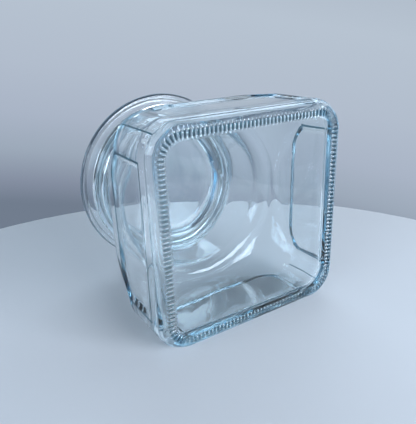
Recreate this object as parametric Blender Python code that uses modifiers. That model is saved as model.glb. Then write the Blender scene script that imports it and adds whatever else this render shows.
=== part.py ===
"""A square glass canister with a round mouth and a round glass lid, lying on one of its sides.

Every piece is modelled standing, with the canister's axis on +Z and its base at 0. An empty then lays the
canister down: its axis runs along +Y, and the side that it lies on is at Z = 0. Lengths are in metres.
"""

import math

import bmesh
import bpy

# The body: a square with round corners
BODY_SIDE = 0.120
CORNER_RADIUS = 0.018
SIDE_TOP = 0.046
WALL = 0.0038
BASE_THICKNESS = 0.011

# The bearing ring on the base, and the heel that leads from it to the sides
RING_INSET = 0.0063
RING_WIDTH = 0.007
RING_FLAT = 0.0025
RING_DROP = 0.0012
BASE_PUSH_UP = 0.0015
HEEL_HEIGHT = 0.009
INNER_HEEL_RADIUS = 0.005

# The shoulder, which turns the square into the round neck
SHOULDER_HEIGHT = 0.0165
CORNER_LEAD = 0.008
SHOULDER_FULLNESS = 1.4
CORNER_SPREAD = 0.34

# The neck and its thickened mouth
NECK_INNER_RADIUS = 0.044
NECK_WALL = 0.004
NECK_FILLET = 0.006
MOUTH_HEIGHT = 0.1056
BEAD_HEIGHT = 0.007
BEAD_WIDTH = 0.004
LIP_ROUND = 0.0015

# The sunk panel in each side
PANEL_SIDE_GAP = 0.001
PANEL_BASE_GAP = 0.0017
PANEL_TOP_GAP = 0.0015
PANEL_DEPTH = 0.0012
PANEL_BORDER = 0.0025
PANEL_TOP_ROUND_WIDTH = 0.016
PANEL_TOP_ROUND_HEIGHT = 0.010
PANEL_BOTTOM_ROUND = 0.002

# The lid, and the hollow plug under it
LID_OVERHANG = 0.006
LID_THICKNESS = 0.0038
LID_EDGE_ROUND = 0.0018
LID_DOME = 0.0008
LID_DOME_RADIUS = 0.038
PLUG_DEPTH = 0.0070
PLUG_WALL = 0.0032
PLUG_ROUND = 0.0012

# The seal between the plug and the neck
SEAL_SLEEVE = 0.0012
SEAL_FLANGE = 0.0012
SEAL_FLANGE_WIDTH = 0.0028
SEAL_LENGTH = 0.0056
SEAL_FIN_COUNT = 2
SEAL_FIN_REACH = 0.0016
SEAL_FIN_THICKNESS = 0.0008

# Clearances
FIT = 0.0003
SEAL_FIT = 0.0004
OVERSHOOT = 0.001

# How finely round shapes are cut into facets
FLAT_STEPS = 5
CORNER_STEPS = 3
SHOULDER_STEPS = 6
HEEL_STEPS = 3
FILLET_STEPS = 3
PANEL_ROUND_STEPS = 5
TURN_STEPS = 64

# What follows from the sizes above
BODY_HALF = BODY_SIDE / 2
INNER_HALF = BODY_HALF - WALL
CORNER_CENTRE = BODY_HALF - CORNER_RADIUS
CORNER_TOP = SIDE_TOP - CORNER_LEAD
INNER_FLOOR = BASE_PUSH_UP + BASE_THICKNESS
NECK_RADIUS = NECK_INNER_RADIUS + NECK_WALL
SHOULDER_TOP = SIDE_TOP + SHOULDER_HEIGHT
PANEL_HALF_WIDTH = CORNER_CENTRE - PANEL_SIDE_GAP
PANEL_BOTTOM = HEEL_HEIGHT + PANEL_BASE_GAP
PANEL_TOP = SIDE_TOP - PANEL_TOP_GAP
LID_RADIUS = NECK_RADIUS + BEAD_WIDTH + LID_OVERHANG
SEAL_RADIUS = NECK_INNER_RADIUS - SEAL_FIT
PLUG_RADIUS = SEAL_RADIUS - SEAL_FIN_REACH - SEAL_SLEEVE - FIT
LID_BOTTOM = MOUTH_HEIGHT + SEAL_FLANGE + 2 * FIT
LID_TOP = LID_BOTTOM + LID_THICKNESS
TOTAL_LENGTH = LID_TOP + LID_DOME

# Colours and finishes
GLASS_COLOUR = (0.78, 0.90, 0.92, 1.0)
GLASS_ROUGHNESS = 0.03
GLASS_IOR = 1.52
SEAL_COLOUR = (0.86, 0.90, 0.90, 1.0)
SEAL_ROUGHNESS = 0.35
SEAL_IOR = 1.41


def clear_scene():
    """Takes away whatever the scene starts with."""
    for thing in list(bpy.data.objects):
        bpy.data.objects.remove(thing, do_unlink=True)


def new_collection(name):
    """A collection of the scene."""
    collection = bpy.data.collections.new(name)
    bpy.context.scene.collection.children.link(collection)
    return collection


def clear_material(name, colour, roughness, ior):
    """A see-through Principled material."""
    material = bpy.data.materials.new(name)
    material.use_nodes = True
    shader = material.node_tree.nodes["Principled BSDF"]
    shader.inputs["Base Color"].default_value = colour
    shader.inputs["Roughness"].default_value = roughness
    shader.inputs["Metallic"].default_value = 0.0
    shader.inputs["IOR"].default_value = ior
    shader.inputs["Transmission Weight"].default_value = 1.0
    material.diffuse_color = colour
    return material


def glass_material():
    """Clear pressed glass with a faint sea tint."""
    return clear_material("glass", GLASS_COLOUR, GLASS_ROUGHNESS, GLASS_IOR)


def silicone_material():
    """Clear, slightly milky silicone."""
    return clear_material("clear_silicone", SEAL_COLOUR, SEAL_ROUGHNESS, SEAL_IOR)


def object_from_bmesh(name, shape, collection):
    """A mesh object that holds the bmesh's faces, with its faces turned outwards."""
    bmesh.ops.recalc_face_normals(shape, faces=shape.faces)
    mesh = bpy.data.meshes.new(name)
    shape.to_mesh(mesh)
    shape.free()
    thing = bpy.data.objects.new(name, mesh)
    collection.objects.link(thing)
    return thing


def shade_round(thing):
    """Smooth shading that keeps edges sharper than 35 degrees."""
    thing.data.shade_smooth()
    thing.data.set_sharp_from_angle(angle=math.radians(35))


# The jar


def section_angles():
    """The directions, all the way round, in which every section of the jar has a point.

    They are close together where the body's corners turn, and the same for every section, so that a square
    section and a round one join point to point.
    """
    corner_start = math.atan2(CORNER_CENTRE, BODY_HALF)
    eighth = [corner_start * step / FLAT_STEPS for step in range(FLAT_STEPS)]
    corner = math.pi / 4 - corner_start
    eighth += [corner_start + corner * step / CORNER_STEPS for step in range(CORNER_STEPS)]
    quarter = eighth + [math.pi / 4] + [math.pi / 2 - angle for angle in reversed(eighth[1:])]
    return [turn * math.pi / 2 + angle for turn in range(4) for angle in quarter]


def reach(angle, half, corner):
    """How far a square with round corners reaches from its centre in one direction."""
    folded = angle % (math.pi / 2)
    folded = min(folded, math.pi / 2 - folded)
    along = math.cos(folded)
    across = math.sin(folded)
    centre = half - corner
    if half * across <= centre * along:
        return half / along
    return centre * (along + across) + math.sqrt(corner**2 - (centre * (along - across)) ** 2)


def corner_at(half):
    """The corner radius of a section that keeps the body's corner centres."""
    return max(half - CORNER_CENTRE, 0.0)


def ring_sections():
    """The bearing ring: from the pushed-up middle of the base, over the flat ring, to the heel."""
    middle = BODY_HALF - RING_INSET
    inner = middle - RING_WIDTH / 2
    outer = middle + RING_WIDTH / 2
    rise = BASE_PUSH_UP
    halves = [
        (inner - 2 * rise, rise),
        (inner, RING_DROP),
        (middle - RING_FLAT / 2, 0.0),
        (middle + RING_FLAT / 2, 0.0),
        (outer, RING_DROP),
    ]
    return [(half, corner_at(half), height) for half, height in halves]


def heel_sections():
    """The rounding from the ring up to the flat sides."""
    start = BODY_HALF - RING_INSET + RING_WIDTH / 2
    sections = []
    for step in range(1, HEEL_STEPS + 1):
        turn = math.pi / 2 * step / HEEL_STEPS
        half = start + (BODY_HALF - start) * math.sin(turn)
        height = HEEL_HEIGHT - (HEEL_HEIGHT - RING_DROP) * math.cos(turn)
        sections.append((half, corner_at(half), height))
    return sections


def shoulder_sections(half, corner, top):
    """The turn from the square sides to the round foot of the neck: the corners open first, then the sides close."""
    end = NECK_RADIUS + NECK_FILLET
    heights = [CORNER_TOP, SIDE_TOP]
    for step in range(1, SHOULDER_STEPS + 1):
        heights.append(SIDE_TOP + (top - SIDE_TOP) * math.sin(math.pi / 2 * step / SHOULDER_STEPS))
    sections = []
    for height in heights:
        closing = max(height - SIDE_TOP, 0.0) / (top - SIDE_TOP)
        opening = (height - CORNER_TOP) / (top - CORNER_TOP)
        here = end + (half - end) * max(1 - closing**2, 0.0) ** (SHOULDER_FULLNESS / 2)
        spread = (1 - max(1 - opening**2, 0.0) ** (SHOULDER_FULLNESS / 2)) ** CORNER_SPREAD
        sections.append((here, min(corner + (end - corner) * spread, here), height))
    return sections


def fillet_sections(radius):
    """The hollow turn at the foot of the neck, round a circle beside it."""
    centre_radius = NECK_RADIUS + NECK_FILLET
    centre_height = SHOULDER_TOP + NECK_FILLET
    sections = []
    for step in range(1, FILLET_STEPS + 1):
        turn = math.pi / 2 * step / FILLET_STEPS
        here = centre_radius - radius * math.sin(turn)
        sections.append((here, here, centre_height - radius * math.cos(turn)))
    return sections


def mouth_sections():
    """The thickened mouth: up its outside, over the lip and in."""
    bead = NECK_RADIUS + BEAD_WIDTH
    bottom = MOUTH_HEIGHT - BEAD_HEIGHT
    points = [
        (NECK_RADIUS, bottom - BEAD_WIDTH),
        (bead - LIP_ROUND * 0.3, bottom),
        (bead, bottom + LIP_ROUND),
        (bead, MOUTH_HEIGHT - LIP_ROUND),
        (bead - LIP_ROUND * 0.3, MOUTH_HEIGHT - LIP_ROUND * 0.3),
        (bead - LIP_ROUND, MOUTH_HEIGHT),
        (NECK_INNER_RADIUS + LIP_ROUND, MOUTH_HEIGHT),
        (NECK_INNER_RADIUS + LIP_ROUND * 0.3, MOUTH_HEIGHT - LIP_ROUND * 0.3),
        (NECK_INNER_RADIUS, MOUTH_HEIGHT - LIP_ROUND),
    ]
    return [(radius, radius, height) for radius, height in points]


def inner_heel_sections():
    """The rounding from the inner wall down to the floor of the inside."""
    centre_half = INNER_HALF - INNER_HEEL_RADIUS
    sections = []
    for step in range(HEEL_STEPS + 1):
        turn = math.pi / 2 * step / HEEL_STEPS
        half = centre_half + INNER_HEEL_RADIUS * math.cos(turn)
        height = INNER_FLOOR + INNER_HEEL_RADIUS * (1 - math.sin(turn))
        sections.append((half, corner_at(half), height))
    return sections


def jar_sections():
    """Every section of the jar in order: up its outside, over the lip and down its inside."""
    outside = ring_sections() + heel_sections()
    outside += shoulder_sections(BODY_HALF, CORNER_RADIUS, SHOULDER_TOP)
    outside += fillet_sections(NECK_FILLET) + mouth_sections()
    inside = shoulder_sections(INNER_HALF, CORNER_RADIUS - WALL, SHOULDER_TOP - NECK_WALL)
    inside += fillet_sections(NECK_FILLET + NECK_WALL)
    inside.reverse()
    return outside + inside + inner_heel_sections()


def loft(sections):
    """A closed skin through the sections, with a flat face over the first one and the last one."""
    shape = bmesh.new()
    angles = section_angles()
    loops = []
    for half, corner, height in sections:
        loop = []
        for angle in angles:
            radius = reach(angle, half, corner)
            loop.append(shape.verts.new((radius * math.cos(angle), radius * math.sin(angle), height)))
        loops.append(loop)
    for lower, upper in zip(loops, loops[1:]):
        for here in range(len(angles)):
            after = (here + 1) % len(angles)
            shape.faces.new((lower[here], lower[after], upper[after], upper[here]))
    shape.faces.new(list(reversed(loops[0])))
    shape.faces.new(loops[-1])
    return shape


def panel_outline(grow):
    """The outline of a sunk panel, as (across, up) points, made bigger all round by grow."""
    wide = PANEL_HALF_WIDTH + grow
    bottom = PANEL_BOTTOM - grow
    top = PANEL_TOP + grow
    corners = (
        (wide, bottom, PANEL_BOTTOM_ROUND, PANEL_BOTTOM_ROUND, -90),
        (wide, top, PANEL_TOP_ROUND_WIDTH + grow, PANEL_TOP_ROUND_HEIGHT + grow, 0),
        (-wide, top, PANEL_TOP_ROUND_WIDTH + grow, PANEL_TOP_ROUND_HEIGHT + grow, 90),
        (-wide, bottom, PANEL_BOTTOM_ROUND, PANEL_BOTTOM_ROUND, 180),
    )
    points = []
    for across, up, round_width, round_height, start in corners:
        centre_across = across - math.copysign(round_width, across)
        centre_up = up + round_height if up == bottom else up - round_height
        for step in range(PANEL_ROUND_STEPS + 1):
            angle = math.radians(start + 90 * step / PANEL_ROUND_STEPS)
            points.append((centre_across + round_width * math.cos(angle), centre_up + round_height * math.sin(angle)))
    return points


def panel_cutter(number, cutters):
    """The wedge-sided block that sinks one panel, on the side that faces the number of quarter turns from +X."""
    slope = PANEL_BORDER / PANEL_DEPTH
    shape = bmesh.new()
    loops = []
    for depth in (-PANEL_DEPTH, OVERSHOOT):
        outline = panel_outline(slope * depth)
        loops.append([shape.verts.new((BODY_HALF + depth, across, up)) for across, up in outline])
    inner, outer = loops
    for here in range(len(inner)):
        after = (here + 1) % len(inner)
        shape.faces.new((inner[here], inner[after], outer[after], outer[here]))
    shape.faces.new(inner)
    shape.faces.new(outer)
    cutter = object_from_bmesh(f"panel_cutter_{number}", shape, cutters)
    cutter.rotation_euler.z = number * math.pi / 2
    cutter.hide_render = True
    cutter.display_type = "WIRE"
    return cutter


def add_jar(parts, cutters, glass):
    """The jar: one piece of glass, with a sunk panel in each of its four sides."""
    jar = object_from_bmesh("jar", loft(jar_sections()), parts)
    jar.data.materials.append(glass)
    placed = [jar]
    for number in range(4):
        cutter = panel_cutter(number, cutters)
        cut = jar.modifiers.new(f"panel_{number}", "BOOLEAN")
        cut.operation = "DIFFERENCE"
        cut.solver = "EXACT"
        cut.object = cutter
        placed.append(cutter)
    shade_round(jar)
    return placed


# The lid and its seal


def turned(name, profile, parts, material):
    """A piece turned about the axis from a profile of (radius, height) points, outer side from top to bottom."""
    mesh = bpy.data.meshes.new(name)
    edges = [(here, here + 1) for here in range(len(profile) - 1)]
    if profile[0][0] > 0:
        edges.append((len(profile) - 1, 0))
    mesh.from_pydata([(radius, 0.0, height) for radius, height in profile], edges, [])
    mesh.materials.append(material)
    thing = bpy.data.objects.new(name, mesh)
    parts.objects.link(thing)
    screw = thing.modifiers.new("turn", "SCREW")
    screw.axis = "Z"
    screw.angle = 2 * math.pi
    screw.steps = TURN_STEPS
    screw.render_steps = TURN_STEPS
    screw.use_merge_vertices = True
    screw.merge_threshold = 0.00001
    screw.use_smooth_shade = True
    return thing


def quarter_round(radius, height, size, start, steps=3):
    """Points on a quarter circle that turns clockwise from the start angle, in degrees."""
    points = []
    for step in range(steps + 1):
        angle = math.radians(start - 90 * step / steps)
        points.append((radius + size * math.cos(angle), height + size * math.sin(angle)))
    return points


def add_lid(parts, glass):
    """The lid: a disc with a rounded rim, a slightly raised middle and a hollow plug below."""
    middle = LID_BOTTOM - LID_TOP
    profile = [(0.0, LID_DOME), (LID_DOME_RADIUS * 0.9, LID_DOME), (LID_DOME_RADIUS, 0.0)]
    rim = LID_RADIUS - LID_EDGE_ROUND
    profile += quarter_round(rim, -LID_EDGE_ROUND, LID_EDGE_ROUND, 90)
    profile += quarter_round(rim, middle + LID_EDGE_ROUND, LID_EDGE_ROUND, 0)
    plug_bottom = middle - PLUG_DEPTH
    profile.append((PLUG_RADIUS, middle))
    profile += quarter_round(PLUG_RADIUS - PLUG_ROUND, plug_bottom + PLUG_ROUND, PLUG_ROUND, 0, steps=2)
    profile += quarter_round(PLUG_RADIUS - PLUG_WALL + PLUG_ROUND, plug_bottom + PLUG_ROUND, PLUG_ROUND, 270, steps=2)
    profile += [
        (PLUG_RADIUS - PLUG_WALL, middle - PLUG_WALL),
        (PLUG_RADIUS - 2 * PLUG_WALL, middle),
        (0.0, middle),
    ]
    lid = turned("lid", profile, parts, glass)
    lid.location.z = LID_TOP
    return lid


def add_seal(parts, silicone):
    """The seal: a sleeve round the plug, with a flange under the lid and fins that press on the neck."""
    inner = PLUG_RADIUS + FIT
    sleeve = inner + SEAL_SLEEVE
    pitch = SEAL_LENGTH / (SEAL_FIN_COUNT + 0.5)
    profile = [
        (inner, SEAL_FLANGE),
        (SEAL_RADIUS + SEAL_FLANGE_WIDTH, SEAL_FLANGE),
        (SEAL_RADIUS + SEAL_FLANGE_WIDTH, 0.0),
        (sleeve, 0.0),
    ]
    for fin in range(SEAL_FIN_COUNT):
        top = -pitch * (fin + 1)
        profile += [
            (sleeve, top + SEAL_FIN_THICKNESS),
            (SEAL_RADIUS, top + SEAL_FIN_THICKNESS),
            (SEAL_RADIUS, top),
            (sleeve, top - SEAL_FIN_THICKNESS),
        ]
    profile += [(sleeve, -SEAL_LENGTH), (inner, -SEAL_LENGTH)]
    seal = turned("lid_seal", profile, parts, silicone)
    seal.location.z = MOUTH_HEIGHT + FIT
    return seal


def lay_down(things):
    """Lays the standing canister on its side: the axis turns from +Z to +Y, and the origin goes under its middle."""
    empty = bpy.data.objects.new("canister_axis", None)
    bpy.context.scene.collection.objects.link(empty)
    empty.rotation_euler.x = -math.pi / 2
    empty.location = (0.0, -TOTAL_LENGTH / 2, BODY_HALF)
    for thing in things:
        thing.parent = empty


def main():
    clear_scene()
    parts = new_collection("glass_canister")
    cutters = new_collection("cutters")
    glass = glass_material()
    things = add_jar(parts, cutters, glass)
    things.append(add_lid(parts, glass_material()))
    things.append(add_seal(parts, silicone_material()))
    lay_down(things)


main()
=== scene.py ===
# %% [markdown]
# # A square glass canister with a round glass lid
#
# The canister lies on one of its sides on a round pale table. It has three pieces: the jar, the lid and the
# clear seal between them. All three are see-through, so this lesson is mostly about glass. Glass shows its
# shape only where it bends light, so every rounding, rib and wave has to be there in the mesh.
#
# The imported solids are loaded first. They are the frame: they fix where every piece sits and how it moves.

# %% Load the frame
import math

import bmesh
import bpy
from mathutils import Matrix, Vector, noise

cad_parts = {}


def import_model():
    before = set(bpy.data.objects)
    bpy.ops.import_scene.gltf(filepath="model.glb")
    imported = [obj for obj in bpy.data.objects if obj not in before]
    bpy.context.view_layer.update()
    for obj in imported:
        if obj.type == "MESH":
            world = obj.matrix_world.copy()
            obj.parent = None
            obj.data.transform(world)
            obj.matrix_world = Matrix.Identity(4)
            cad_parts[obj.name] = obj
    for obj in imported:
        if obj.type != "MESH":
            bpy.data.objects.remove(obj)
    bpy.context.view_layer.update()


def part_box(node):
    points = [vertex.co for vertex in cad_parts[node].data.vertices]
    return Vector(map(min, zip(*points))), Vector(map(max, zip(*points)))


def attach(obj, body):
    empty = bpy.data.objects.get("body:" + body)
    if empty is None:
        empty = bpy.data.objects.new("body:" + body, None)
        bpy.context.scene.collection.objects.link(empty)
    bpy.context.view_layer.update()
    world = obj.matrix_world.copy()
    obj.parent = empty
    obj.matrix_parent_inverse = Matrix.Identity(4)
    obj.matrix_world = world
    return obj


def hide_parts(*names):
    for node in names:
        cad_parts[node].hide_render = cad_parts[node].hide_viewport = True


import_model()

# %% [markdown]
# ## Sizes
#
# The outer sizes are read from the solids, so the fine meshes can't drift away from them. The canister is
# easiest to think of standing up, with its axis along Z and its base at 0, so each piece is modelled that
# way and laid down at the end. Everything is in metres.

# %% Sizes read from the frame
jar_low, jar_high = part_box("jar")
lid_low, lid_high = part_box("lid")
seal_low, seal_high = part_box("lid_seal")

BODY_HALF = (jar_high.x - jar_low.x) / 2
MOUTH_HEIGHT = jar_high.y - jar_low.y
AXIS_HEIGHT = (jar_low.z + jar_high.z) / 2
LID_RADIUS = (lid_high.x - lid_low.x) / 2
LID_TOP = lid_high.y - jar_low.y
PLUG_BOTTOM = lid_low.y - jar_low.y
SEAL_TOP = seal_high.y - jar_low.y
SEAL_BOTTOM = seal_low.y - jar_low.y
SEAL_FLANGE_RADIUS = (seal_high.x - seal_low.x) / 2
print("body half", round(BODY_HALF, 4), "mouth at", round(MOUTH_HEIGHT, 4), "lid top", round(LID_TOP, 4))

# %% Sizes of the jar's details
MM = 0.001
CORNER_RADIUS = 18 * MM
CORNER_CENTRE = BODY_HALF - CORNER_RADIUS
WALL = 3.8 * MM
RING_INSET = 5.8 * MM
PUSH_UP = 1.5 * MM
FLOOR = PUSH_UP + 11 * MM
HEEL_HEIGHT = 9 * MM
INNER_HEEL = 5 * MM
CORNER_TOP = 38 * MM
SIDE_TOP = 46 * MM
SHOULDER_TOP = 62.5 * MM
NECK_RADIUS = 48 * MM
NECK_WALL = 4 * MM
NECK_FILLET = 6 * MM

# %% [markdown]
# ## A way to build the jar
#
# The jar is one piece of glass that changes from square to round, so no single primitive is near it. A
# glass maker would describe it by its cross-sections, and that is how it is built: a circle is made once,
# moved onto the first section, and then its edge loop is extruded from section to section, up the outside,
# over the lip and down the inside. After each extrusion the new loop is moved to its own section.
#
# A loop has the same number of points everywhere. On the square part, a point sits at a fixed place along a
# side or round a corner. On the shoulder and neck it keeps its direction from the axis, because a circle
# has no sides.

# %% Where the points of a loop go
RIBS_PER_SIDE = 36
RIBS_PER_CORNER = 8
POINTS_PER_RIB = 2
SIDE_STEPS = RIBS_PER_SIDE * POINTS_PER_RIB
CORNER_STEPS = RIBS_PER_CORNER * POINTS_PER_RIB
QUARTER_STEPS = SIDE_STEPS + CORNER_STEPS
LOOP_STEPS = 4 * QUARTER_STEPS


def turned_quarters(point, quarters):
    """The point turned about the axis by a number of quarter turns."""
    x, y = point
    for _ in range(quarters):
        x, y = -y, x
    return x, y


def square_points(half, corner):
    """The points of a loop on a square with round corners that share the body's corner centres."""
    centre = half - corner
    points = []
    for step in range(LOOP_STEPS):
        quarter, place = divmod(step, QUARTER_STEPS)
        if place < SIDE_STEPS:
            local = (half, centre * (2 * place / SIDE_STEPS - 1))
        else:
            turn = math.pi / 2 * (place - SIDE_STEPS) / CORNER_STEPS
            local = (centre + corner * math.cos(turn), centre + corner * math.sin(turn))
        points.append(turned_quarters(local, quarter))
    return points


def directions(half, corner):
    """The direction of each of a square section's points, seen from the axis."""
    return [math.atan2(y, x) for x, y in square_points(half, corner)]


def reach(angle, half, corner):
    """How far a square with round corners reaches in one direction."""
    folded = angle % (math.pi / 2)
    folded = min(folded, math.pi / 2 - folded)
    along, across = math.cos(folded), math.sin(folded)
    centre = half - corner
    if half * across <= centre * along:
        return half / along
    return centre * (along + across) + math.sqrt(max(corner**2 - (centre * (along - across)) ** 2, 0.0))


def rounder_points(half, corner, angles):
    """The points of a loop on a section of the shoulder or the neck, in fixed directions."""
    points = []
    for angle in angles:
        radius = reach(angle, half, corner)
        points.append((radius * math.cos(angle), radius * math.sin(angle)))
    return points


OUTER_DIRECTIONS = directions(BODY_HALF, CORNER_RADIUS)
INNER_DIRECTIONS = directions(BODY_HALF - WALL, CORNER_RADIUS - WALL)


def mixed_directions(share):
    """Directions part of the way from the outer skin's to the inner skin's."""
    return [a + (b - a) * share for a, b in zip(OUTER_DIRECTIONS, INNER_DIRECTIONS)]


print("points in a loop:", LOOP_STEPS)

# %% Operators that grow a skin loop by loop


def first_loop(shape, points, height):
    """A closed loop of points at one height, made from a circle."""
    made = bmesh.ops.create_circle(shape, segments=len(points), radius=1.0, cap_ends=False)
    loop = made["verts"]
    place_loop(loop, points, height)
    return loop


def place_loop(loop, points, height):
    """Moves a loop's points to their places."""
    for vertex, (x, y) in zip(loop, points):
        vertex.co = (x, y, height)


def next_loop(shape, loop, points, height):
    """Extrudes a loop once and moves the new loop to its own place."""
    edges = [shape.edges.get((a, b)) for a, b in zip(loop, loop[1:] + loop[:1])]
    made = bmesh.ops.extrude_edge_only(shape, edges=edges)["geom"]
    fresh = {part for part in made if isinstance(part, bmesh.types.BMVert)}
    grown = []
    for vertex in loop:
        grown.append(next(e.other_vert(vertex) for e in vertex.link_edges if e.other_vert(vertex) in fresh))
    place_loop(grown, points, height)
    return grown


def close_loop(shape, loop):
    """Fills a loop with one face and pokes it, so that its triangles meet in the middle."""
    edges = [shape.edges.get((a, b)) for a, b in zip(loop, loop[1:] + loop[:1])]
    face = bmesh.ops.edgeloop_fill(shape, edges=edges)["faces"]
    bmesh.ops.poke(shape, faces=face)


def lay_down(shape):
    """Turns a standing piece so that its axis runs along +Y, and puts it where the solids are."""
    turn = Matrix.Rotation(-math.pi / 2, 3, "X")
    bmesh.ops.rotate(shape, verts=shape.verts, cent=(0, 0, 0), matrix=turn)
    bmesh.ops.translate(shape, verts=shape.verts, vec=(0, jar_low.y, AXIS_HEIGHT))


def finished(shape, name):
    """The bmesh as a smooth object at the origin, with its faces outwards."""
    bmesh.ops.recalc_face_normals(shape, faces=shape.faces)
    mesh = bpy.data.meshes.new(name)
    shape.to_mesh(mesh)
    shape.free()
    mesh.shade_smooth()
    piece = bpy.data.objects.new(name, mesh)
    bpy.context.scene.collection.objects.link(piece)
    print(name, "has", len(mesh.polygons), "faces")
    return piece


# %% [markdown]
# ## The jar's sections
#
# The base is pushed up a little in its middle, so that the canister stands on a ring of bars. The heel is a
# quarter of an ellipse. On the shoulder the corners open first, over the last part of the flat sides, and
# then the sides close in on the neck. The neck flares into a bead at the mouth, which is where the lid
# sits.
#
# Each function returns a list of (half-width, corner radius, height). A table of numbers would do the same,
# but a function keeps every section right when a size above it changes.

# %% Sections of the outside
BASE_SCALES = (0.06, 0.22, 0.4, 0.57, 0.72, 0.85, 0.94)
BASE_SLOPE = 26 * MM
RING_ROOM = 7.5 * MM
RING_STEPS = 5
BAR_HEIGHT = 0.6 * MM
BAND_STEPS = 11
HEEL_STEPS = 8
SHOULDER_STEPS = 18
FILLET_STEPS = 7
LEAD_STEPS = 9
SHOULDER_FULLNESS = 1.4
CORNER_SPREAD = 0.34
MOULD_LINE = 5 * MM
MOULD_STEP = 0.3 * MM
CREST = BODY_HALF - RING_INSET
BAND_INNER = 3.4 * MM
BAND_OUTER = 3.2 * MM


def eased(share):
    """0 below 0, 1 above 1, and a soft S between."""
    share = min(max(share, 0.0), 1.0)
    return share * share * (3 - 2 * share)


def ring_sections():
    """The part of the base beside the bars, up to where they begin."""
    sections = []
    for step in range(RING_STEPS + 1):
        half = CREST - RING_ROOM + (RING_ROOM - BAND_INNER) * step / RING_STEPS
        sections.append((half, half - CORNER_CENTRE, ring_height(half)))
    return sections


def ring_height(half):
    """The height of the base and heel without bars: a slow slope inside, a quarter of an ellipse outside."""
    if half < CREST:
        slope = min((CREST - half) / BASE_SLOPE, 1.0)
        return BAR_HEIGHT + (PUSH_UP - BAR_HEIGHT) * (1 - math.cos(math.pi * slope)) / 2
    share = (half - CREST) / (BODY_HALF - CREST)
    return BAR_HEIGHT + (HEEL_HEIGHT - BAR_HEIGHT) * (1 - math.sqrt(max(1 - share**2, 0.0)))


def band_sections():
    """The part of the ring that carries the bars."""
    sections = []
    for step in range(BAND_STEPS + 1):
        half = CREST - BAND_INNER + (BAND_INNER + BAND_OUTER) * step / BAND_STEPS
        sections.append((half, half - CORNER_CENTRE, ring_height(half)))
    return sections


def heel_sections():
    """The rounding from the ring to the sides, with the small step where two parts of the mould meet."""
    start = ring_height(CREST + BAND_OUTER)
    rise = HEEL_HEIGHT - start
    heights = [start + rise * (1 - math.cos(math.pi / 2 * s / HEEL_STEPS)) for s in range(1, HEEL_STEPS + 1)]
    heights += [MOULD_LINE - 0.25 * MM, MOULD_LINE - 0.05 * MM, MOULD_LINE + 0.2 * MM]
    sections = []
    for height in sorted(heights):
        level = (HEEL_HEIGHT - height) / (HEEL_HEIGHT - BAR_HEIGHT)
        half = CREST + (BODY_HALF - CREST) * math.sqrt(max(1 - level**2, 0.0))
        if height < MOULD_LINE:
            half -= MOULD_STEP * (height - start) / (MOULD_LINE - start)
        sections.append((half, half - CORNER_CENTRE, height))
    return sections


def shoulder_sections(half, corner, top):
    """The turn from the square sides to the round foot of the neck."""
    end = NECK_RADIUS + NECK_FILLET
    heights = [CORNER_TOP + (SIDE_TOP - CORNER_TOP) * step / LEAD_STEPS for step in range(1, LEAD_STEPS + 1)]
    for step in range(1, SHOULDER_STEPS + 1):
        heights.append(SIDE_TOP + (top - SIDE_TOP) * math.sin(math.pi / 2 * step / SHOULDER_STEPS))
    sections = []
    for height in heights:
        closing = max(height - SIDE_TOP, 0.0) / (top - SIDE_TOP)
        opening = (height - CORNER_TOP) / (top - CORNER_TOP)
        here = end + (half - end) * max(1 - closing**2, 0.0) ** (SHOULDER_FULLNESS / 2)
        opened = (1 - max(1 - opening**2, 0.0) ** (SHOULDER_FULLNESS / 2)) ** CORNER_SPREAD
        sections.append((here, min(corner + (end - corner) * opened, here), height))
    return sections


def fillet_sections(radius):
    """The hollow turn at the foot of the neck."""
    sections = []
    for step in range(1, FILLET_STEPS + 1):
        turn = math.pi / 2 * step / FILLET_STEPS
        here = NECK_RADIUS + NECK_FILLET - radius * math.sin(turn)
        sections.append((here, here, SHOULDER_TOP + NECK_FILLET - radius * math.cos(turn)))
    return sections


# %% Sections of the mouth
BEAD_HEIGHT = 7 * MM
BEAD_WIDTH = 4 * MM
BEAD_STEPS = 6
LIP_ROUND = 1.5 * MM


def arc(centre_radius, centre_height, size, start, end, steps):
    """Points (radius, height) on part of a circle, between two angles in degrees."""
    points = []
    for step in range(steps + 1):
        angle = math.radians(start + (end - start) * step / steps)
        points.append((centre_radius + size * math.cos(angle), centre_height + size * math.sin(angle)))
    return points


def mouth_sections():
    """The neck above its fillet: out to the bead, over the lip and in."""
    bead = NECK_RADIUS + BEAD_WIDTH
    inner = NECK_RADIUS - NECK_WALL
    bottom = MOUTH_HEIGHT - BEAD_HEIGHT
    points = [(NECK_RADIUS, bottom - 12 * MM), (NECK_RADIUS, bottom - 4 * MM)]
    for step in range(1, BEAD_STEPS + 1):
        share = step / BEAD_STEPS
        points.append((NECK_RADIUS + BEAD_WIDTH * eased(share), bottom - 3 * MM + 4 * MM * share))
    points += arc(bead - LIP_ROUND, MOUTH_HEIGHT - LIP_ROUND, LIP_ROUND, 0, 90, 5)
    points += arc(inner + LIP_ROUND, MOUTH_HEIGHT - LIP_ROUND, LIP_ROUND, 90, 180, 5)
    return [(radius, radius, height) for radius, height in points]


def inner_heel_sections():
    """The rounding from the inner wall down to the floor of the inside."""
    start = BODY_HALF - WALL - INNER_HEEL
    sections = []
    for half, height in arc(start, FLOOR + INNER_HEEL, INNER_HEEL, 0, -90, 9):
        sections.append((half, half - CORNER_CENTRE, height))
    return sections


# %% [markdown]
# ## Growing the jar
#
# Now the loops are extruded in order. The same skin could be cut out of a block with booleans. Extruding
# lets each loop go where it is needed: the outside walls get loops just where the sunk panels begin and
# end, because a crease is only as sharp as the loops beside it.

# %% Grow the skin
PANEL_BOTTOM = 10.7 * MM
PANEL_TOP = 44.5 * MM
PANEL_BORDER = 2.5 * MM
LINE_WIDTH = 0.9 * MM
TWIST_STEPS = 8


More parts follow.
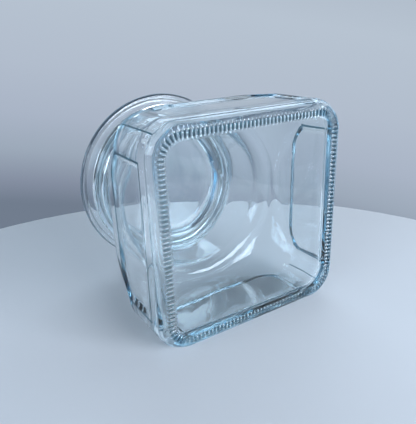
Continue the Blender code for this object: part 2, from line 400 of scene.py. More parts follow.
def side_heights():
    """Heights of the loops on the flat sides, close together at the panel's border."""
    heights = [PANEL_BOTTOM + PANEL_BORDER * share for share in (0, 0.08, 0.5, 0.92, 1, 1.1)]
    heights.insert(0, PANEL_BOTTOM - LINE_WIDTH)
    heights += [15 * MM, 19 * MM, 23 * MM, 27 * MM, 30.5 * MM, 33 * MM]
    heights += [CORNER_TOP - 0.9 * MM * step for step in (4, 3, 2, 1, 0)]
    return heights


def grow_jar():
    """The whole skin of the jar, with the loops of the ribbed band kept apart for later."""
    shape = bmesh.new()
    edge = CREST - RING_ROOM
    base = square_points(edge, edge - CORNER_CENTRE)
    first = [(x * BASE_SCALES[0], y * BASE_SCALES[0]) for x, y in base]
    loop = first_loop(shape, first, ring_height(edge * BASE_SCALES[0]))
    close_loop(shape, loop)
    for scale in BASE_SCALES[1:]:
        loop = next_loop(shape, loop, [(x * scale, y * scale) for x, y in base], ring_height(edge * scale))
    for half, corner, height in ring_sections()[:-1]:
        loop = next_loop(shape, loop, square_points(half, corner), height)
    band = []
    for half, corner, height in band_sections():
        loop = next_loop(shape, loop, square_points(half, corner), height)
        band.append(loop)
    for half, corner, height in heel_sections():
        loop = next_loop(shape, loop, square_points(half, corner), height)
    for height in side_heights():
        loop = next_loop(shape, loop, square_points(BODY_HALF, CORNER_RADIUS), height)
    outside = shoulder_sections(BODY_HALF, CORNER_RADIUS, SHOULDER_TOP)
    outside += fillet_sections(NECK_FILLET) + mouth_sections()
    for half, corner, height in outside:
        loop = next_loop(shape, loop, rounder_points(half, corner, OUTER_DIRECTIONS), height)
    neck_inside = NECK_RADIUS - NECK_WALL
    for step in range(1, TWIST_STEPS + 1):
        drop = SHOULDER_TOP + NECK_FILLET - MOUTH_HEIGHT + LIP_ROUND
        height = MOUTH_HEIGHT - LIP_ROUND + drop * step / (TWIST_STEPS + 1)
        angles = mixed_directions(step / TWIST_STEPS)
        loop = next_loop(shape, loop, rounder_points(neck_inside, neck_inside, angles), height)
    inside = shoulder_sections(BODY_HALF - WALL, CORNER_RADIUS - WALL, SHOULDER_TOP - NECK_WALL)
    inside += fillet_sections(NECK_FILLET + NECK_WALL)
    for half, corner, height in reversed(inside):
        loop = next_loop(shape, loop, rounder_points(half, corner, INNER_DIRECTIONS), height)
    for height in (CORNER_TOP, 34 * MM, 30 * MM, 26 * MM):
        loop = next_loop(shape, loop, square_points(BODY_HALF - WALL, CORNER_RADIUS - WALL), height)
    for half, corner, height in inner_heel_sections():
        loop = next_loop(shape, loop, square_points(half, corner), height)
    floor_edge = [vertex.co.xy.copy() for vertex in loop]
    for scale in reversed(BASE_SCALES):
        loop = next_loop(shape, loop, [point * scale for point in floor_edge], FLOOR)
    close_loop(shape, loop)
    return shape, band


jar_shape, band_loops = grow_jar()
print("jar skin:", len(jar_shape.faces), "faces")

# %% [markdown]
# ## The ribs of the bearing ring
#
# The ring is pressed with short bars that run across it, 36 to a side. Two points to a bar can't show it,
# so only the edges that run along the ring are subdivided, four times finer. Then each point of the band
# stands out by a height that depends on where it is along the ring: the full height on a bar, and nothing
# between two bars. A bump map would be cheaper, but it leaves the edge of the base smooth, and the bars are
# seen from the side too.

# %% Ribs
RIB_CUTS = 3
RIB_INNER_END = 3.1 * MM
RIB_OUTER_END = 2.9 * MM
RIB_END = 0.7 * MM
BAR_TOP = 0.10
BAR_FLANK = 0.28
BAND_MARGIN = 0.1 * MM
SIDE_PITCH = 2 * CORNER_CENTRE / RIBS_PER_SIDE


def band_edges(shape, loops):
    """The edges that run along the band."""
    edges = []
    for loop in loops:
        edges += [shape.edges.get((a, b)) for a, b in zip(loop, loop[1:] + loop[:1])]
    return edges


def along_and_across(point):
    """A point of the band as (bars passed on its side or corner, distance outside the crest)."""
    x, y = abs(point.x), abs(point.y)
    if x > CORNER_CENTRE and y > CORNER_CENTRE:
        turn = math.atan2(y - CORNER_CENTRE, x - CORNER_CENTRE)
        out = math.hypot(x - CORNER_CENTRE, y - CORNER_CENTRE)
        return turn / (math.pi / 2) * RIBS_PER_CORNER, out + CORNER_CENTRE - CREST
    return min(x, y) / SIDE_PITCH, max(x, y) - CREST


def off_bar(count):
    """How far a point is from the middle of the nearest bar, as a share of the pitch."""
    return abs((count + 0.5) % 1.0 - 0.5)


def bar_ends(out):
    """1 along a bar's length, and 0 past its two ends."""
    return eased((out + RIB_INNER_END) / RIB_END) * eased((RIB_OUTER_END - out) / RIB_END)


def bar_rise(count, out):
    """How far a bar stands out of the base at a point of the band."""
    return BAR_HEIGHT * (1 - eased((off_bar(count) - BAR_TOP) / BAR_FLANK)) * bar_ends(out)


def press_ribs(shape, loops):
    """Makes the band fine enough for its bars, and lets them stand out."""
    bmesh.ops.subdivide_edges(shape, edges=band_edges(shape, loops), cuts=RIB_CUTS, use_grid_fill=True)
    highest = ring_height(CREST - BAND_INNER) + BAND_MARGIN
    pressed = 0
    for vertex in shape.verts:
        if vertex.co.z > highest:
            continue
        count, out = along_and_across(vertex.co)
        if -BAND_INNER < out < BAND_OUTER:
            vertex.co.z -= bar_rise(count, out)
            pressed += 1
    print("points in the ribbed band:", pressed)


press_ribs(jar_shape, band_loops)
print("jar with ribs:", len(jar_shape.faces), "faces")

# %% [markdown]
# ## The sunk panels
#
# Each side has a shallow panel with square corners towards the base and wide round corners towards the
# shoulder. A point that lies inside its outline moves straight in, by more the further in it is, until it
# is past the border. A boolean cut could sink it too, but moving the points keeps the loops whole.

# %% Panels
PANEL_HALF_WIDTH = CORNER_CENTRE - 1.0 * MM
PANEL_DEPTH = 1.2 * MM
TOP_ROUND = (16 * MM, 10 * MM)
FINE_FROM = (23 * MM, 33 * MM)


def inside_panel(across, up):
    """How far a point is inside the panel's outline, in metres. It is below 0 outside."""
    across = abs(across)
    edge = min(PANEL_HALF_WIDTH - across, up - PANEL_BOTTOM, PANEL_TOP - up)
    wide, tall = TOP_ROUND
    dx = (across - PANEL_HALF_WIDTH + wide) / wide
    dy = (up - PANEL_TOP + tall) / tall
    if dx > 0 and dy > 0:
        far = math.hypot(dx, dy)
        slope = math.hypot(dx / wide, dy / tall) / far
        edge = min(edge, (1 - far) / slope)
    return edge


def press_panels(shape):
    """Sinks the four panels into the outer skin."""
    moved = 0
    for vertex in shape.verts:
        x, y, up = vertex.co
        if not PANEL_BOTTOM < up < PANEL_TOP or max(abs(x), abs(y)) < BODY_HALF - WALL / 2:
            continue
        faces_x = abs(x) > abs(y)
        edge = inside_panel(y if faces_x else x, up)
        if edge <= 0:
            continue
        depth = PANEL_DEPTH * min(edge / PANEL_BORDER, 1.0)
        floor = BODY_HALF - depth
        if faces_x:
            vertex.co.x = math.copysign(min(abs(x), floor), x)
        else:
            vertex.co.y = math.copysign(min(abs(y), floor), y)
        moved += 1
    print("panel points:", moved)


def refine_panel_corners(shape):
    """Cuts the faces round the panels' wide upper corners finer, so that their outline bends smoothly."""
    near = set()
    for vertex in shape.verts:
        x, y, up = vertex.co
        across = min(abs(x), abs(y))
        out = max(abs(x), abs(y))
        at_corner = FINE_FROM[0] < across < CORNER_CENTRE and FINE_FROM[1] < up < PANEL_TOP + 1 * MM
        if at_corner and out > BODY_HALF - 1 * MM:
            near.add(vertex)
    edges = [edge for edge in shape.edges if edge.verts[0] in near and edge.verts[1] in near]
    bmesh.ops.subdivide_edges(shape, edges=edges, cuts=2, use_grid_fill=True)
    print("edges cut finer:", len(edges))


refine_panel_corners(jar_shape)
press_panels(jar_shape)

# %% [markdown]
# ## Seams and waves
#
# Two halves of the mould meet on two opposite corners and leave a hair-thin ridge there. The ridge could be
# a piece of its own, but a seam is part of the skin, so the skin's own points are moved to make it.
#
# The inside was shaped by a plunger and by the glass's own flow, so it isn't quite flat. Slow waves a few
# centimetres long, a tenth of a millimetre high, are enough to make straight lines behind it wander.

# %% Seam ridges
SEAM_RIDGE = 0.2 * MM
SEAM_HALF_WIDTH = 0.4 * MM
SEAM_REACH = 2.2 * MM
SEAM_TOP = 41 * MM


def press_seams(shape):
    """Lifts each seam's middle column, and brings the columns beside it close so that the ridge is fine."""
    pressed = 0
    for vertex in shape.verts:
        x, y, up = vertex.co
        if not MOULD_LINE < up < SEAM_TOP or x * y < 0:
            continue
        if math.hypot(x, y) < reach(math.atan2(y, x), BODY_HALF - WALL / 2, CORNER_RADIUS - WALL / 2):
            continue
        outwards = outwards_at_seam(x, y)
        across = (abs(x) - abs(y)) / math.sqrt(2)
        if abs(across) < SEAM_HALF_WIDTH / 4:
            vertex.co.xy += outwards * SEAM_RIDGE
            pressed += 1
        elif abs(across) < SEAM_REACH:
            middle = outwards * vertex.co.xy.dot(outwards)
            offset = vertex.co.xy - middle
            kept = offset.normalized() * SEAM_HALF_WIDTH
            rise = (offset.length_squared - SEAM_HALF_WIDTH**2) / (2 * CORNER_RADIUS)
            vertex.co.xy = middle + kept + outwards * rise
    print("seam points:", pressed)


def outwards_at_seam(x, y):
    """The direction of the corner that a point is nearest to."""
    return Vector((math.copysign(1.0, x), math.copysign(1.0, y))).normalized()


def outside_skin(vertex):
    """Whether a point of the shoulder or neck is on the outer skin."""
    outwards = Vector((vertex.co.x, vertex.co.y, 0)).normalized()
    return vertex.normal.dot(outwards + Vector((0, 0, 1))) > 0


# %% Waves
WAVE_HEIGHT = 0.16 * MM
WAVE_LENGTH = 34 * MM
BASE_WAVE_HEIGHT = 0.12 * MM
BASE_WAVE_LENGTH = 30 * MM
SKIN_MARGIN = 0.1 * MM


def wave(place, size, seed):
    """A slow random swell between about -1 and 1, for waves of one size."""
    return noise.noise(Vector(place) / size + Vector((seed, seed * 0.7, seed * 1.3)))


def add_waves(shape):
    """Lets the inner skin, and a little the base, swell and dip."""
    shape.normal_update()
    for vertex in shape.verts:
        x, y, up = vertex.co
        radius = math.hypot(x, y)
        inside = max(abs(x), abs(y)) < BODY_HALF - WALL + SKIN_MARGIN
        inside = inside and FLOOR - SKIN_MARGIN < up < SHOULDER_TOP
        if inside and radius > NECK_RADIUS and up > CORNER_TOP and outside_skin(vertex):
            inside = False
        if inside:
            vertex.co += vertex.normal * WAVE_HEIGHT * wave(vertex.co, WAVE_LENGTH, 3.0)
        elif up < PUSH_UP + SKIN_MARGIN and radius < CREST - BASE_SLOPE / 2:
            vertex.co.z += BASE_WAVE_HEIGHT * wave(vertex.co, BASE_WAVE_LENGTH, 8.0)


bmesh.ops.recalc_face_normals(jar_shape, faces=jar_shape.faces)
jar_shape.normal_update()
press_seams(jar_shape)
add_waves(jar_shape)

# %% [markdown]
# ## Marks for the painted shade of the dark lines
#
# Deep narrow creases in thick glass read dark, because the light in them crosses a long way of tinted glass.
# At this size a renderer needs very fine facets for that, so the creases are also marked on the mesh: one
# value on each point for the gaps between bars, one on each face for the single lines. The material reads
# both and paints a dark teal shade into the glass there. So the dark of these lines is partly real, from the
# creases' shape, and partly painted shade.

# %% Marks of painted shade
# How dark the painted shade is in the gaps between bars, on the panels' borders and seams, and on the mould
# line.
GAP_SHADE = 1.0
PANEL_AND_SEAM_SHADE = 1.0
MOULD_LINE_SHADE = 0.35
GAP_START = 0.14
GAP_FADE = 0.14
LINE_INSIDE = 0.21 * MM
CREASE_HALF_WIDTH = 0.26 * MM
SIDE_DEPTH = 0.3 * MM
SKIN_DEPTH = 3 * MM


def mark_jar_shade(shape):
    """Marks painted shade on the gaps between the bars, the panels' borders, the mould line and the seams."""
    gap = shape.verts.layers.float.new("gap")
    line = shape.faces.layers.float.new("line")
    highest = ring_height(CREST - BAND_INNER) + BAND_MARGIN
    for vertex in shape.verts:
        if vertex.co.z < highest:
            vertex[gap] = gap_shade_at(*along_and_across(vertex.co))
    marked = 0
    for face in shape.faces:
        face[line] = line_shade_at(*face.calc_center_median())
        marked += face[line] > 0
    print("faces with a line:", marked)


def gap_shade_at(count, out):
    """How much painted shade the gap between two bars gets at a point of the band."""
    return GAP_SHADE * eased((off_bar(count) - GAP_START) / GAP_FADE) * bar_ends(out)


def line_shade_at(x, y, up):
    """How much painted shade the line through a face gets, from where the face's middle is."""
    out, across = max(abs(x), abs(y)), min(abs(x), abs(y))
    flat = out > BODY_HALF - SIDE_DEPTH and across < CORNER_CENTRE
    if flat and -LINE_WIDTH < inside_panel(across, up) < LINE_INSIDE:
        return PANEL_AND_SEAM_SHADE
    skin = math.hypot(x, y) > reach(math.atan2(y, x), BODY_HALF - SKIN_DEPTH, CORNER_RADIUS - SKIN_DEPTH)
    if skin and abs(up - MOULD_LINE) < CREASE_HALF_WIDTH:
        return MOULD_LINE_SHADE
    if skin and x * y > 0 and out - across < SEAM_HALF_WIDTH * math.sqrt(2) and MOULD_LINE < up < SEAM_TOP:
        return PANEL_AND_SEAM_SHADE
    return 0.0


mark_jar_shade(jar_shape)
lay_down(jar_shape)
jar = finished(jar_shape, "jar_glass")

# %% [markdown]
# ## The lid
#
# The lid is turned: a profile spun round the axis. It is a disc that overhangs the mouth all round, which
# is what the fingers lift it by, with a hollow plug below that drops into the neck. The edge of the disc is
# fully rounded, as fire-polished glass is. Stacked cylinders would need a bevel on every edge, and a
# profile has them all from the start.

# %% Lid profile and spin
TURN_STEPS = 256
LID_BOTTOM = MOUTH_HEIGHT + 1.8 * MM
LID_DOME = 0.8 * MM
EDGE = 1.75 * MM
RIM_WIDTH = 3 * MM
WEB_STEP = 0.5 * MM
PLUG_RADIUS = 40.5 * MM
PLUG_WALL = 3.2 * MM
PLUG_ROUND = 1.2 * MM
# How dark the painted shade is at the lid's edge and at the foot of its rim.
LID_EDGE_SHADE = 0.9
RIM_FOOT_SHADE = 0.5
EDGE_DEPTH = 0.9 * MM
FOOT_HALF_WIDTH = 0.5 * MM


def smooth_run(start, end, steps):
    """Points from start to end on a soft S, both ends level."""
    points = []
    for step in range(1, steps + 1):
        share = step / steps
        points.append((start[0] + (end[0] - start[0]) * share, start[1] + (end[1] - start[1]) * eased(share)))
    return points


def lid_profile():
    """(radius, height) from the middle of the lid's top, out over the rim and back to the middle below."""
    flat = LID_TOP - LID_DOME
    web = flat - WEB_STEP
    foot_in = LID_RADIUS - RIM_WIDTH - 0.8 * MM
    foot_out = LID_RADIUS - RIM_WIDTH + 0.4 * MM
    profile = [(0.0, LID_TOP), (12 * MM, LID_TOP), (24 * MM, LID_TOP), (33 * MM, LID_TOP)]
    profile += smooth_run((33 * MM, LID_TOP), (39 * MM, web), 6)
    profile += [(46 * MM, web), (52 * MM, web), (foot_in, web)]
    profile += smooth_run((foot_in, web), (foot_out, flat), 4)
    profile += arc(LID_RADIUS - EDGE, flat - EDGE, EDGE, 90, 0, 7)
    profile += arc(LID_RADIUS - EDGE, LID_BOTTOM + EDGE, EDGE, 0, -90, 7)
    under = LID_BOTTOM + WEB_STEP
    profile += smooth_run((foot_out, LID_BOTTOM), (foot_in, under), 4)
    profile += [(52 * MM, under)] + smooth_run((50 * MM, under), (48.5 * MM, LID_BOTTOM), 3)
    profile += [(PLUG_RADIUS + 0.6 * MM, LID_BOTTOM)]
    profile += [(PLUG_RADIUS, LID_BOTTOM - 0.6 * MM), (PLUG_RADIUS, (LID_BOTTOM + PLUG_BOTTOM) / 2)]
    profile += arc(PLUG_RADIUS - PLUG_ROUND, PLUG_BOTTOM + PLUG_ROUND, PLUG_ROUND, 0, -90, 4)
    profile += arc(PLUG_RADIUS - PLUG_WALL + PLUG_ROUND, PLUG_BOTTOM + PLUG_ROUND, PLUG_ROUND, -90, -180, 4)
    hollow = PLUG_RADIUS - PLUG_WALL
    profile += arc(hollow - PLUG_WALL, LID_BOTTOM - PLUG_WALL, PLUG_WALL, 0, 90, 6)
    profile += [(24 * MM, LID_BOTTOM), (12 * MM, LID_BOTTOM), (0.0, LID_BOTTOM)]
    print("points in the lid's profile:", len(profile))
    return profile


def mark_lid_shade(shape):
    """Marks painted shade on the lid's edge and on the foot of its rim."""
    line = shape.faces.layers.float.new("line")
    for face in shape.faces:
        middle = face.calc_center_median()
        radius = math.hypot(middle.x, middle.y)
        on_top = middle.z > (LID_BOTTOM + LID_TOP) / 2
        if radius > LID_RADIUS - EDGE_DEPTH:
            face[line] = LID_EDGE_SHADE
        elif on_top and abs(radius - LID_RADIUS + RIM_WIDTH) < FOOT_HALF_WIDTH:
            face[line] = RIM_FOOT_SHADE


def spun(profile, name, closed=False, mark=None):
    """A profile of (radius, height) points spun once round the axis."""
    shape = bmesh.new()
    points = [shape.verts.new((radius, 0.0, height)) for radius, height in profile]
    edges = [shape.edges.new((a, b)) for a, b in zip(points, points[1:])]
    if closed:
        edges.append(shape.edges.new((points[-1], points[0])))
    bmesh.ops.spin(
        shape, geom=points + edges, cent=(0, 0, 0), axis=(0, 0, 1), dvec=(0, 0, 0),
        angle=2 * math.pi, steps=TURN_STEPS, use_merge=True, use_duplicate=False,
    )
    bmesh.ops.remove_doubles(shape, verts=shape.verts, dist=1e-6)
    if mark:
        mark(shape)
    lay_down(shape)
    return finished(shape, name)


lid = spun(lid_profile(), "lid_glass", mark=mark_lid_shade)

# %% [markdown]
# ## The seal
#
# A thin sleeve of clear silicone sits round the plug. Its flange lies between the lid and the lip. On a
# real lid the two fins press on the neck, and here they stop just short of it. The seal is turned as well,
# from a profile that closes on itself, so it needs no caps.

# %% Seal profile and spin
SLEEVE_INNER = PLUG_RADIUS + 0.3 * MM
SLEEVE_OUTER = SLEEVE_INNER + 1.2 * MM
FIN_RADIUS = 43.6 * MM
FLANGE = 1.2 * MM
FIN_PITCH = (SEAL_TOP - FLANGE - SEAL_BOTTOM) / 2.5
FIN_THICKNESS = 0.8 * MM


def seal_profile():
    """(radius, height) round the seal's section."""
    under = SEAL_TOP - FLANGE
    profile = [(SLEEVE_INNER, SEAL_TOP), (FIN_RADIUS, SEAL_TOP)]
    profile += arc(SEAL_FLANGE_RADIUS - FLANGE / 2, SEAL_TOP - FLANGE / 2, FLANGE / 2, 90, -90, 6)
    profile += arc(SLEEVE_OUTER + 0.5 * MM, under - 0.5 * MM, 0.5 * MM, 90, 180, 3)
    for fin in (1, 2):
        top = under - FIN_PITCH * fin
        profile += [(SLEEVE_OUTER, top + FIN_THICKNESS)]
        profile += arc(FIN_RADIUS - FIN_THICKNESS / 2, top + FIN_THICKNESS / 2, FIN_THICKNESS / 2, 90, -60, 4)
        profile += [(SLEEVE_OUTER, top - 0.6 * MM)]
    profile += [(SLEEVE_OUTER, SEAL_BOTTOM), (SLEEVE_INNER, SEAL_BOTTOM)]
    return profile


seal = spun(seal_profile(), "seal_silicone", closed=True)

# %% [markdown]
# ## Glass
#
# Clear soda glass has a trace of iron, which colours long paths through it sea green. That is why an edge
# looks teal while the wall beside it looks colourless. A tinted surface can't do this, but an absorbing
# volume does, so the colour is given to the inside of the material. Only where the mesh is marked is the
# surface tinted too, with a painted dark teal shade for the creases. The surface itself is nearly perfect,
# with a faint orange-peel wave left by the mould and a little variation in how polished it is. The lid's
# volume is made denser than the jar's. That is a choice for looks, to bring out the teal of its thin edge.

# %% Glass material
CLEAR = (1.0, 1.0, 1.0, 1.0)
# The dark teal that is painted into the marked creases as shade.
PAINTED_CREASE_SHADE = (0.004, 0.045, 0.075, 1.0)
BODY_TEAL = (0.22, 0.66, 0.83, 1.0)


def glass(name, wave_strength, density):
    """Clear pressed glass with a sea-green body, and painted shade where the mesh is marked."""
    material = bpy.data.materials.new(name)
    material.use_nodes = True
    nodes, links = material.node_tree.nodes, material.node_tree.links
    shader = nodes["Principled BSDF"]
    gap = nodes.new("ShaderNodeAttribute")
    gap.attribute_name = "gap"
    line = nodes.new("ShaderNodeAttribute")
    line.attribute_name = "line"
    # The larger of the two marks sets the painted shade: clear glass where there is none, dark teal at a full
    # mark.
    darker = nodes.new("ShaderNodeMath")
    darker.operation = "MAXIMUM"
    links.new(gap.outputs["Fac"], darker.inputs[0])
    links.new(line.outputs["Fac"], darker.inputs[1])
    tint = nodes.new("ShaderNodeValToRGB")
    tint.color_ramp.elements[0].color = CLEAR
    tint.color_ramp.elements[1].color = PAINTED_CREASE_SHADE
    links.new(darker.outputs["Value"], tint.inputs["Fac"])
    links.new(tint.outputs["Color"], shader.inputs["Base Color"])
    shader.inputs["IOR"].default_value = 1.52
    shader.inputs["Transmission Weight"].default_value = 1.0
    place = nodes.new("ShaderNodeTexCoord")

    polish = nodes.new("ShaderNodeTexNoise")
    polish.inputs["Scale"].default_value = 60.0
    polish.inputs["Detail"].default_value = 3.0
    links.new(place.outputs["Object"], polish.inputs["Vector"])
    spread = nodes.new("ShaderNodeMapRange")
    spread.inputs["From Min"].default_value = 0.35
    spread.inputs["From Max"].default_value = 0.75
    spread.inputs["To Min"].default_value = 0.0
    spread.inputs["To Max"].default_value = 0.035
    links.new(polish.outputs["Fac"], spread.inputs["Value"])
    links.new(spread.outputs["Result"], shader.inputs["Roughness"])

    peel = nodes.new("ShaderNodeTexNoise")
    peel.inputs["Scale"].default_value = 110.0
    peel.inputs["Detail"].default_value = 1.0
    links.new(place.outputs["Object"], peel.inputs["Vector"])
    bump = nodes.new("ShaderNodeBump")
    bump.inputs["Strength"].default_value = wave_strength
    bump.inputs["Distance"].default_value = 0.0004
    links.new(peel.outputs["Fac"], bump.inputs["Height"])
    links.new(bump.outputs["Normal"], shader.inputs["Normal"])

    body = nodes.new("ShaderNodeVolumeAbsorption")
    body.inputs["Color"].default_value = BODY_TEAL
    body.inputs["Density"].default_value = density
    links.new(body.outputs["Volume"], nodes["Material Output"].inputs["Volume"])
    return material


jar_glass = glass("pressed_glass_jar", wave_strength=0.06, density=13.0)
lid_glass = glass("pressed_glass_lid", wave_strength=0.1, density=28.0)
print("glass materials:", jar_glass.name, lid_glass.name)

# %% [markdown]
# ## Silicone
#
# Clear silicone bends light less than glass and has a satin surface, so it looks milky beside it. A
# scattering volume is another way to get this, but it is noisy at few samples. Here one cloudy noise drives
# the roughness and tint.

# %% Silicone material
def silicone():
    """Translucent silicone, satin."""
    material = bpy.data.materials.new("clear_silicone")
    material.use_nodes = True
    nodes, links = material.node_tree.nodes, material.node_tree.links
    shader = nodes["Principled BSDF"]
    shader.inputs["IOR"].default_value = 1.41
    shader.inputs["Transmission Weight"].default_value = 0.9
    place = nodes.new("ShaderNodeTexCoord")
    cloud = nodes.new("ShaderNodeTexNoise")
    cloud.inputs["Scale"].default_value = 45.0
    cloud.inputs["Detail"].default_value = 4.0
    links.new(place.outputs["Object"], cloud.inputs["Vector"])
    tint = nodes.new("ShaderNodeValToRGB")
    tint.color_ramp.elements[0].color = (0.84, 0.89, 0.90, 1.0)
    tint.color_ramp.elements[1].color = (0.94, 0.97, 0.97, 1.0)
    links.new(cloud.outputs["Fac"], tint.inputs["Fac"])
    links.new(tint.outputs["Color"], shader.inputs["Base Color"])
    spread = nodes.new("ShaderNodeMapRange")
    spread.inputs["To Min"].default_value = 0.18
    spread.inputs["To Max"].default_value = 0.32
    links.new(cloud.outputs["Fac"], spread.inputs["Value"])
    links.new(spread.outputs["Result"], shader.inputs["Roughness"])
    return material


for piece, material, body, slot, node in (
    (jar, jar_glass, "jar", "jar_glass", "jar"),
    (lid, lid_glass, "lid", "lid_glass", "lid"),
    (seal, silicone(), "seal", "seal_silicone", "lid_seal"),
):
    piece.data.materials.append(material)
    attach(piece, body)
    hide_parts(node)

# %% [markdown]
# ## The table
#
# The canister lies on a round pale table. A cylinder with its two edges bevelled is enough for it. It isn't
# part of the object, only the stage.

# %% Table
TABLE_RADIUS = 0.285
TABLE_PLACE = (-0.0686, -0.0928)
TABLE_GAP = 0.15 * MM
TABLE_THICKNESS = 18 * MM
TABLE_ROUND = 3 * MM


def table():
    """A round table top with a rounded edge."""
    shape = bmesh.new()
    bmesh.ops.create_cone(
        shape, cap_ends=True, segments=256, radius1=TABLE_RADIUS, radius2=TABLE_RADIUS, depth=TABLE_THICKNESS
    )
    rims = [edge for edge in shape.edges if abs(edge.verts[0].co.z - edge.verts[1].co.z) < 1e-6]
    bmesh.ops.bevel(
        shape, geom=rims, offset=TABLE_ROUND, affect="EDGES", segments=3, profile=0.5, material=-1
    )
    bmesh.ops.translate(shape, verts=shape.verts, vec=(*TABLE_PLACE, -TABLE_THICKNESS / 2 - TABLE_GAP))
    piece = finished(shape, "table")
    material = bpy.data.materials.new("pale_lacquer")
    material.use_nodes = True
    nodes, links = material.node_tree.nodes, material.node_tree.links
    shader = nodes["Principled BSDF"]
    shader.inputs["Roughness"].default_value = 0.55
    place = nodes.new("ShaderNodeTexCoord")
    mottle = nodes.new("ShaderNodeTexNoise")
    mottle.inputs["Scale"].default_value = 9.0
    links.new(place.outputs["Object"], mottle.inputs["Vector"])
    tint = nodes.new("ShaderNodeValToRGB")
    tint.color_ramp.elements[0].color = (0.70, 0.73, 0.77, 1.0)
    tint.color_ramp.elements[1].color = (0.74, 0.77, 0.81, 1.0)
    links.new(mottle.outputs["Fac"], tint.inputs["Fac"])
    links.new(tint.outputs["Color"], shader.inputs["Base Color"])
    piece.data.materials.append(material)
    return piece


table()

# %% [markdown]
# ## The room
#
# Glass shows whatever is round it, so the room matters as much as the lamps. The wall is a pale blue-grey
# that gets darker low down, the ceiling is dark, and there is a dark patch behind the camera. Walls could
# be modelled, but they would stand far from so small a thing, so a world colour that depends only on
# direction is enough.

# %% World
CAMERA_YAW = math.radians(31.942)
SCREEN_HEADING = math.radians(212)
SCREEN_EDGE = (0.80, 0.95)
SCREEN_LEVEL = 0.08
WALL_TILT = 0.19
WALL_COLOURS = (
    (-0.37, (0.165, 0.205, 0.270)),
    (-0.33, (0.235, 0.275, 0.360)),
    (-0.27, (0.335, 0.398, 0.487)),
    (-0.20, (0.400, 0.460, 0.565)),
    (-0.10, (0.445, 0.510, 0.610)),
    (0.05, (0.475, 0.548, 0.640)),
    (0.28, (0.380, 0.440, 0.520)),
    (0.48, (0.120, 0.150, 0.185)),
    (0.75, (0.020, 0.028, 0.036)),
)


def world():
    """A pale blue-grey room, darker low on the left, at the ceiling and behind the camera."""
    room = bpy.data.worlds.new("room")
    bpy.context.scene.world = room
    room.use_nodes = True
    nodes, links = room.node_tree.nodes, room.node_tree.links
    place = nodes.new("ShaderNodeTexCoord")
    height = nodes.new("ShaderNodeVectorMath")
    height.operation = "DOT_PRODUCT"
    tilt = (WALL_TILT * math.cos(CAMERA_YAW), -WALL_TILT * math.sin(CAMERA_YAW))
    height.inputs[1].default_value = (*tilt, 1.0)
    links.new(place.outputs["Generated"], height.inputs[0])
    level = nodes.new("ShaderNodeMapRange")
    level.inputs["From Min"].default_value = -1.0
    level.inputs["From Max"].default_value = 1.0
    links.new(height.outputs["Value"], level.inputs["Value"])
    wall = nodes.new("ShaderNodeValToRGB")
    ramp = wall.color_ramp
    while len(ramp.elements) < len(WALL_COLOURS):
        ramp.elements.new(0.5)
    for element, (position, colour) in zip(ramp.elements, WALL_COLOURS):
        element.position = (position + 1) / 2
        element.color = (*colour, 1.0)
    links.new(level.outputs["Result"], wall.inputs["Fac"])

    behind = nodes.new("ShaderNodeVectorMath")
    behind.operation = "DOT_PRODUCT"
    behind.inputs[1].default_value = (math.sin(SCREEN_HEADING), math.cos(SCREEN_HEADING), 0.15)
    links.new(place.outputs["Generated"], behind.inputs[0])
    screen = nodes.new("ShaderNodeMapRange")
    screen.interpolation_type = "SMOOTHSTEP"
    screen.inputs["From Min"].default_value = SCREEN_EDGE[0]
    screen.inputs["From Max"].default_value = SCREEN_EDGE[1]
    screen.inputs["To Min"].default_value = 1.0
    screen.inputs["To Max"].default_value = SCREEN_LEVEL
    links.new(behind.outputs["Value"], screen.inputs["Value"])
    links.new(wall.outputs["Color"], nodes["Background"].inputs["Color"])
    links.new(screen.outputs["Result"], nodes["Background"].inputs["Strength"])
    return room


world()
print("room:", len(WALL_COLOURS), "colours from the floor to the ceiling")

# %% [markdown]
# ## Windows
#
# Four large soft rectangles stand for windows, three at the sides and one higher up. Point lights could be
# as bright, but glass mirrors its lights, so their shape and size are seen in it as white patches. Each
# window is placed by its heading and its height angle.

# %% Lamps
COOL = (0.72, 0.86, 1.0)
DAYLIGHT = (0.86, 0.91, 1.0)
WINDOW_AIM = Vector((0.0, 0.0, 0.05))
WINDOW_DISTANCE = 2.4


def window(name, heading, height, size, brightness, colour):
    """A soft rectangular light that faces the canister, from a heading and a height angle in degrees."""
    heading, height = math.radians(heading), math.radians(height)
    level = math.cos(height)
    way = Vector((math.sin(heading) * level, math.cos(heading) * level, math.sin(height)))
    lamp = bpy.data.lights.new(name, "AREA")
    lamp.shape = "RECTANGLE"
    lamp.size, lamp.size_y = size
    lamp.energy = brightness * math.pi * size[0] * size[1]
    lamp.color = colour
    holder = bpy.data.objects.new(name, lamp)
    holder.location = WINDOW_AIM + way * WINDOW_DISTANCE
    holder.rotation_euler = (-way).to_track_quat("-Z", "Y").to_euler()
    bpy.context.scene.collection.objects.link(holder)
    print(name, "power", round(lamp.energy, 1))
    return holder


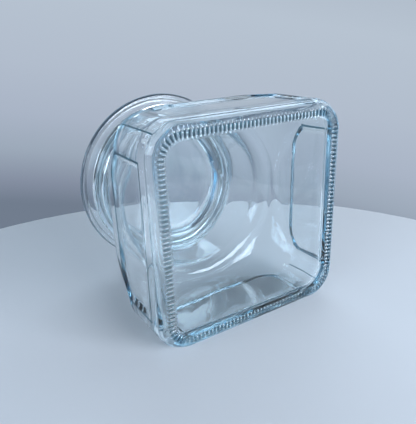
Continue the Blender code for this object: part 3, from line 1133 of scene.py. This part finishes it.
window("window_behind", 162, 20, (1.8, 0.90), 14.5, DAYLIGHT)
window("window_left", 258, 20, (2.1, 0.95), 5.0, COOL)
window("window_right", 88, 20, (1.9, 1.30), 1.7, COOL)
window("window_high", 36, 42, (2.0, 0.80), 3.5, COOL)

# %% [markdown]
# ## The camera
#
# The camera stands to the left of the base and a little above, with a normal lens and hardly any roll. It
# could be aimed by a constraint, but with its heading, tilt and roll as numbers its view can't drift when
# the canister moves.

# %% Camera
CAMERA_PLACE = Vector((-0.1406, -0.2323, 0.1541))
CAMERA_PITCH = math.radians(20.914)
CAMERA_ROLL = math.radians(-2.154)
LENS = 39.69


def camera():
    """The camera, from its heading, downward tilt and roll."""
    ahead = Vector((math.sin(CAMERA_YAW), math.cos(CAMERA_YAW), 0.0))
    forward = ahead * math.cos(CAMERA_PITCH) - Vector((0.0, 0.0, math.sin(CAMERA_PITCH)))
    level = Vector((math.cos(CAMERA_YAW), -math.sin(CAMERA_YAW), 0.0))
    above = level.cross(forward)
    right = math.cos(CAMERA_ROLL) * level + math.sin(CAMERA_ROLL) * above
    up = -math.sin(CAMERA_ROLL) * level + math.cos(CAMERA_ROLL) * above
    lens = bpy.data.cameras.new("camera")
    lens.sensor_width = 36.0
    lens.lens = LENS
    holder = bpy.data.objects.new("camera", lens)
    axes = Matrix((right, up, -forward)).transposed()
    holder.matrix_world = Matrix.Translation(CAMERA_PLACE) @ axes.to_4x4()
    bpy.context.scene.collection.objects.link(holder)
    bpy.context.scene.camera = holder
    return holder


camera()
print("camera at", [round(v, 3) for v in CAMERA_PLACE], "lens", LENS)

# %% [markdown]
# ## How far light is followed
#
# A ray through the jar crosses many surfaces, and more still in the ring of bars. The renderer drops a ray
# after a set number of bounces, and what it would have brought is lost. The usual 12 would be quicker, but
# it risks black bands in thick glass, so more are allowed.

# %% Light paths
BOUNCES = 28
scene = bpy.context.scene
scene.view_settings.view_transform = "Standard"
scene.cycles.max_bounces = BOUNCES
scene.cycles.transmission_bounces = BOUNCES
scene.cycles.glossy_bounces = 16
print("bounces:", scene.cycles.max_bounces)
